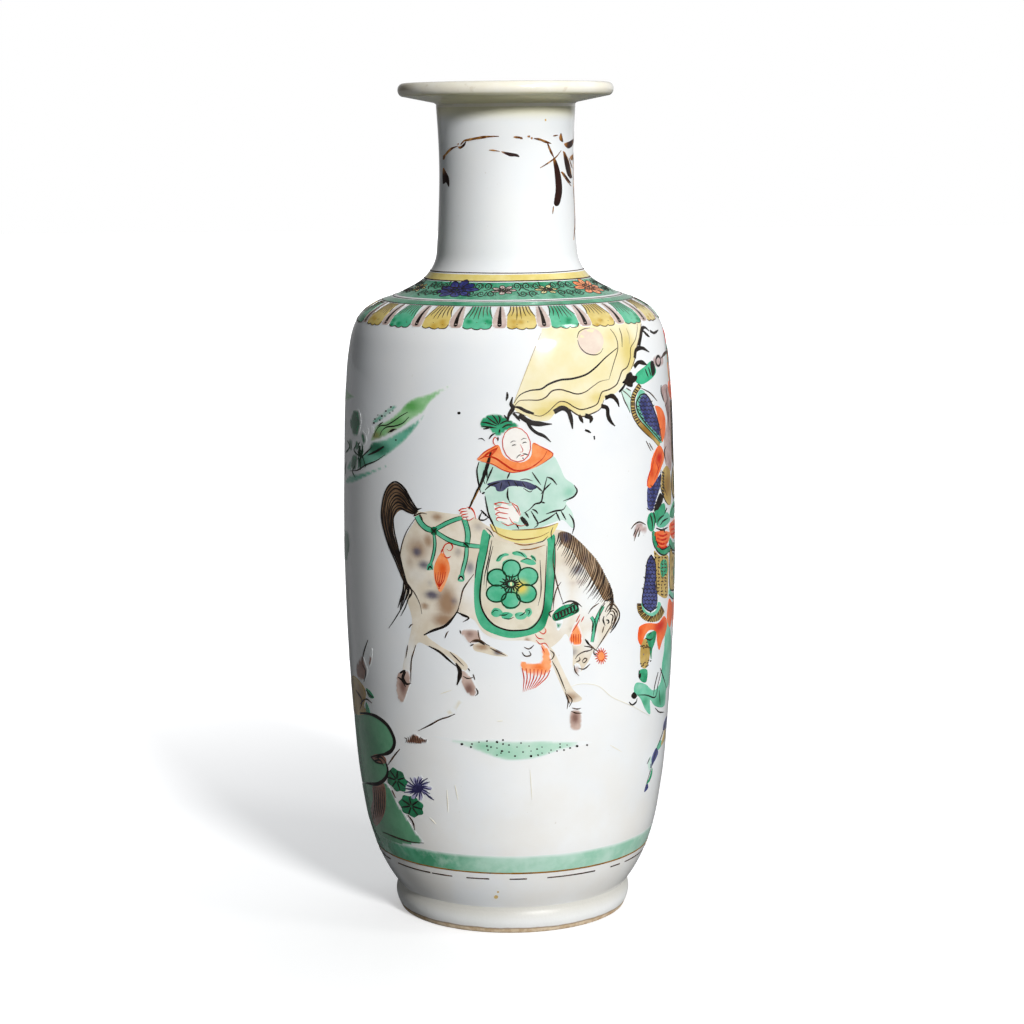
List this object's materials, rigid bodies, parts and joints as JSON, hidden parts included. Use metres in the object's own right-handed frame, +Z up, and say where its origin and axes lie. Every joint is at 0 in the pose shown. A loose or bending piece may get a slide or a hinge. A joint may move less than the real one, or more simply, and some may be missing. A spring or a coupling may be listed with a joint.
{
  "type": "rouleau vase",
  "caption": "Tall straight-sided porcelain vase with a low foot ring, flat sloping shoulder, straight neck and flat everted lip, painted in enamel bands.",
  "frame": {"origin": "centre of the foot ring on the plane that it rests on", "axes": "+Z up along the axis of the vase; +Y runs from the viewer of the painted front into the vase, and +X is to that viewer's right"},
  "size_m": [0.1086, 0.1086, 0.27],
  "materials": {
    "porcelain_glaze": "clear glossy glaze over white porcelain",
    "luting_slip": "fired slip",
    "recess_glaze": "clear glossy glaze, faintly blue",
    "ivory_glaze": "thick ivory glaze on the lip",
    "yellow_enamel": "glossy translucent yellow enamel",
    "brocade_enamel": "glossy green enamel over black scrolls",
    "green_enamel": "glossy translucent green enamel",
    "petal_enamel": "petals in yellow, green and aubergine enamel"
  },
  "bodies": {
    "root": {"foot_ring": "porcelain_glaze", "foot_slip": "luting_slip", "base_disc": "porcelain_glaze", "recess_glaze": "recess_glaze", "lower_wall": "porcelain_glaze", "belly_slip": "luting_slip", "upper_wall": "porcelain_glaze", "shoulder_slip": "luting_slip", "shoulder": "porcelain_glaze", "neck_slip": "luting_slip", "neck": "porcelain_glaze", "mouth_slip": "luting_slip", "mouth_rim": "ivory_glaze", "neck_yellow_band": "yellow_enamel", "brocade_band": "brocade_enamel", "shoulder_green_line": "green_enamel", "petal_collar": "petal_enamel", "ground_band": "green_enamel"}
  },
  "joints": []
}
